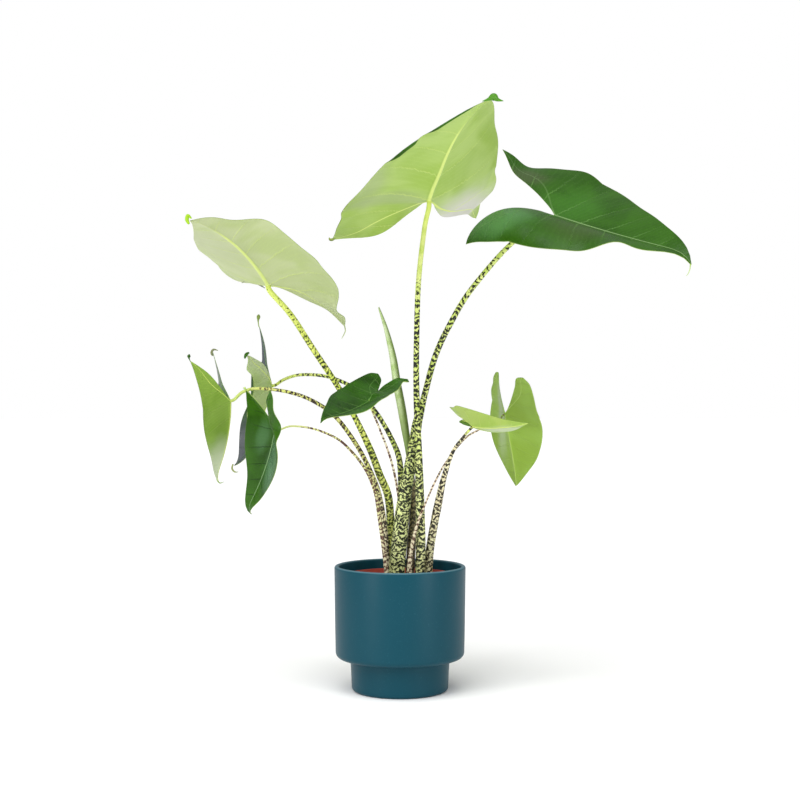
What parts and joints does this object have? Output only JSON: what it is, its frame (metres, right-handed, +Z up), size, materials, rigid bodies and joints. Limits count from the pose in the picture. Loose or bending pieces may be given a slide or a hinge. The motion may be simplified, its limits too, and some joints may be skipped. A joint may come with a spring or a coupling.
{
  "type": "potted alocasia plant",
  "caption": "Potted foliage plant with arrow-shaped leaves on striped stems, planted in a nursery pot inside a stepped cover pot, for standing on a floor or table.",
  "frame": {"origin": "centre of the cover pot's flat foot, on the surface the pot stands on", "axes": "+Z up along the axis of the pots, +X to the right and -Y towards the front as the plant is seen from its front"},
  "size_m": [0.7278, 0.4629, 0.8672],
  "materials": {
    "cover_pot": "satin",
    "nursery_pot": "matte",
    "soil": "crumbly, matte",
    "leaf_blade": "satin, glossy upper face",
    "leaf_stem": "satin, dark zebra blotches",
    "new_leaf": "satin",
    "new_leaf_stem": "dry, matte"
  },
  "bodies": {
    "root": {"cover_pot": "cover_pot", "nursery_pot": "nursery_pot", "soil": "soil", "petiole_1": "leaf_stem", "petiole_2": "leaf_stem", "petiole_3": "leaf_stem", "petiole_4": "leaf_stem", "petiole_5": "leaf_stem", "petiole_6": "leaf_stem", "petiole_7": "leaf_stem", "petiole_8": "leaf_stem", "petiole_9": "leaf_stem", "blade_1": "leaf_blade", "blade_2": "leaf_blade", "blade_3": "leaf_blade", "blade_4": "leaf_blade", "blade_5": "leaf_blade", "blade_6": "leaf_blade", "blade_7": "leaf_blade", "blade_8": "leaf_blade", "blade_9": "leaf_blade", "new_leaf_stem": "new_leaf_stem", "new_leaf": "new_leaf"}
  },
  "joints": []
}
